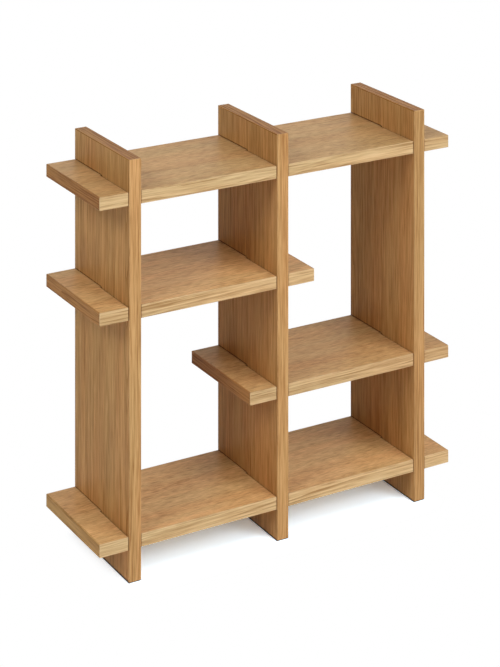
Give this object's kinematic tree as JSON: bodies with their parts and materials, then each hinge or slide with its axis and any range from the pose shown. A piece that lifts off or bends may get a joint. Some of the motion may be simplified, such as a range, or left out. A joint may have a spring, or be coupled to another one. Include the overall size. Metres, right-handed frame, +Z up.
{
  "type": "slot-together bookshelf",
  "caption": "Low open oak bookshelf of veneered boards: uprights and staggered shelves halved into each other, with overhanging ends and no back, each shelf drawn out to the rear.",
  "frame": {"origin": "on the floor, under the middle of the whole bookshelf", "axes": "+X to the right along the shelves seen from the front, +Y to the rear, +Z up"},
  "size_m": [0.8, 0.242, 0.8],
  "materials": {
    "oak_veneer": "satin lacquer",
    "oak_lipping": "satin lacquer",
    "board_core": "raw",
    "felt": "matt"
  },
  "bodies": {
    "uprights": {"left_upright_core": "board_core", "left_upright_foot_lipping": "oak_lipping", "left_upright_front_lipping": "oak_lipping", "left_upright_left_veneer": "oak_veneer", "left_upright_pads": "felt", "left_upright_rear_lipping": "oak_lipping", "left_upright_right_veneer": "oak_veneer", "left_upright_top_lipping": "oak_lipping", "middle_upright_core": "board_core", "middle_upright_foot_lipping": "oak_lipping", "middle_upright_front_lipping": "oak_lipping", "middle_upright_left_veneer": "oak_veneer", "middle_upright_pads": "felt", "middle_upright_rear_lipping": "oak_lipping", "middle_upright_right_veneer": "oak_veneer", "middle_upright_top_lipping": "oak_lipping", "right_upright_core": "board_core", "right_upright_foot_lipping": "oak_lipping", "right_upright_front_lipping": "oak_lipping", "right_upright_left_veneer": "oak_veneer", "right_upright_pads": "felt", "right_upright_rear_lipping": "oak_lipping", "right_upright_right_veneer": "oak_veneer", "right_upright_top_lipping": "oak_lipping"},
    "top_shelf": {"top_shelf_core": "board_core", "top_shelf_front_lipping": "oak_lipping", "top_shelf_left_lipping": "oak_lipping", "top_shelf_lower_veneer": "oak_veneer", "top_shelf_rear_lipping": "oak_lipping", "top_shelf_right_lipping": "oak_lipping", "top_shelf_upper_veneer": "oak_veneer"},
    "upper_left_shelf": {"upper_left_shelf_core": "board_core", "upper_left_shelf_front_lipping": "oak_lipping", "upper_left_shelf_left_lipping": "oak_lipping", "upper_left_shelf_lower_veneer": "oak_veneer", "upper_left_shelf_rear_lipping": "oak_lipping", "upper_left_shelf_right_lipping": "oak_lipping", "upper_left_shelf_upper_veneer": "oak_veneer"},
    "lower_right_shelf": {"lower_right_shelf_core": "board_core", "lower_right_shelf_front_lipping": "oak_lipping", "lower_right_shelf_left_lipping": "oak_lipping", "lower_right_shelf_lower_veneer": "oak_veneer", "lower_right_shelf_rear_lipping": "oak_lipping", "lower_right_shelf_right_lipping": "oak_lipping", "lower_right_shelf_upper_veneer": "oak_veneer"},
    "bottom_shelf": {"bottom_shelf_core": "board_core", "bottom_shelf_front_lipping": "oak_lipping", "bottom_shelf_left_lipping": "oak_lipping", "bottom_shelf_lower_veneer": "oak_veneer", "bottom_shelf_rear_lipping": "oak_lipping", "bottom_shelf_right_lipping": "oak_lipping", "bottom_shelf_upper_veneer": "oak_veneer"}
  },
  "joints": [
    {"name": "top_shelf_slide", "type": "slide", "parent": "uprights", "child": "top_shelf", "axis": [0, 1, 0], "range_m": [0, 0.119]},
    {"name": "upper_left_shelf_slide", "type": "slide", "parent": "uprights", "child": "upper_left_shelf", "axis": [0, 1, 0], "range_m": [0, 0.119]},
    {"name": "lower_right_shelf_slide", "type": "slide", "parent": "uprights", "child": "lower_right_shelf", "axis": [0, 1, 0], "range_m": [0, 0.119]},
    {"name": "bottom_shelf_slide", "type": "slide", "parent": "uprights", "child": "bottom_shelf", "axis": [0, 1, 0], "range_m": [0, 0.119]}
  ]
}
